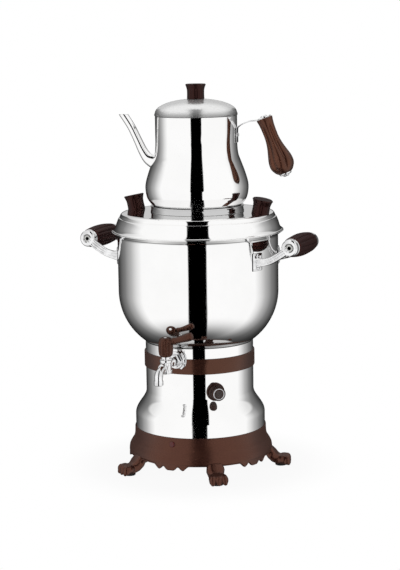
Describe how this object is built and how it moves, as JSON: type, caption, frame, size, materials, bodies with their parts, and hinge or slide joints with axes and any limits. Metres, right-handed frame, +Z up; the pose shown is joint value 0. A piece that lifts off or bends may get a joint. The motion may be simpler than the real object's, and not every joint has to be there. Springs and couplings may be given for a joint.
{
  "type": "samovar",
  "caption": "Free-standing electric samovar: footed pedestal with tap and thermostat, bowl-shaped tank with side handles, lid that carries a lidded teapot.",
  "frame": {"origin": "on the samovar's upright axis, in the plane that the feet stand on", "axes": "+Z up along the axis; the tap points towards -Y; the side handles lie at +X and -X"},
  "size_m": [0.3344, 0.2641, 0.5329],
  "materials": {
    "brown_moulding": "satin brown moulding",
    "rubber": "matt black rubber",
    "polished_steel": "mirror-polished stainless steel sheet",
    "zinc_steel": "zinc-plated steel",
    "chrome_plate": "bright chrome plate",
    "brass": "plain turned brass",
    "element_steel": "dull grey element sheath",
    "seal": "soft silicone seal",
    "ceramic_plastic": "off-white heat-proof moulding",
    "dark_plastic": "very dark brown glossy moulding",
    "red_brown_grip": "reddish brown moulding",
    "red_lens": "clear dark red lens",
    "black_plastic": "black moulding",
    "wire": "silicone-insulated lead"
  },
  "bodies": {
    "urn": {"base_ring": "brown_moulding", "feet": "brown_moulding", "foot_pads": "rubber", "foot_screws": "zinc_steel", "bottom_plate": "zinc_steel", "bottom_screws": "zinc_steel", "pedestal_shell": "polished_steel", "neck_band": "brown_moulding", "tank": "polished_steel", "tie_rod": "zinc_steel", "tie_rod_nut": "zinc_steel", "outlet_elbow": "brass", "outlet_nut": "brass", "tap_body": "chrome_plate", "tap_flange": "chrome_plate", "tap_gasket": "seal", "tap_lock_nut": "brass", "heating_element": "element_steel", "element_nuts": "brass", "element_gaskets": "seal", "thermal_cutout": "ceramic_plastic", "thermostat_body": "ceramic_plastic", "thermostat_nut": "zinc_steel", "thermostat_bezel": "dark_plastic", "pilot_lamp_lens": "red_lens", "pilot_lamp_body": "ceramic_plastic", "power_inlet": "black_plastic", "inlet_pins": "brass", "inlet_screws": "zinc_steel", "wiring": "wire", "left_handle_arms": "chrome_plate", "right_handle_arms": "chrome_plate", "left_handle_grip": "dark_plastic", "right_handle_grip": "dark_plastic", "handle_rods": "zinc_steel", "handle_end_screws": "zinc_steel", "handle_rivets": "chrome_plate"},
    "lid": {"main_lid": "polished_steel", "lid_locating_ring": "polished_steel", "lid_collar": "polished_steel", "left_lid_knob": "dark_plastic", "right_lid_knob": "dark_plastic", "lid_knob_screws": "zinc_steel"},
    "teapot": {"teapot_body": "polished_steel", "teapot_spout": "polished_steel", "teapot_strap": "chrome_plate", "teapot_strap_rivets": "chrome_plate", "teapot_grip": "red_brown_grip", "teapot_grip_cap": "chrome_plate", "teapot_grip_bolt": "zinc_steel"},
    "teapot_cover": {"teapot_lid": "polished_steel", "teapot_lid_knob": "dark_plastic", "teapot_lid_screw": "zinc_steel"},
    "tap_lever": {"tap_plug": "chrome_plate", "tap_handle": "brown_moulding", "tap_handle_screw": "zinc_steel"},
    "thermostat_dial": {"thermostat_shaft": "zinc_steel", "thermostat_knob": "dark_plastic", "thermostat_knob_ring": "chrome_plate"}
  },
  "joints": [
    {"name": "lid_lift", "type": "slide", "parent": "urn", "child": "lid", "axis": [0, 0, 1], "range_m": [0, 0.12]},
    {"name": "teapot_lift", "type": "slide", "parent": "lid", "child": "teapot", "axis": [0, 0, 1], "range_m": [0, 0.15]},
    {"name": "teapot_lid_lift", "type": "slide", "parent": "teapot", "child": "teapot_cover", "axis": [0, 0, 1], "range_m": [0, 0.08]},
    {"name": "tap_turn", "type": "hinge", "parent": "urn", "child": "tap_lever", "pos_m": [0, -0.107, 0.1635], "axis": [0, 0, -1], "range_deg": [0, 90]},
    {"name": "thermostat_turn", "type": "hinge", "parent": "urn", "child": "thermostat_dial", "pos_m": [0.0492, -0.0566, 0.1195], "axis": [-0.6561, 0.7547, 0], "range_deg": [0, 270]}
  ]
}
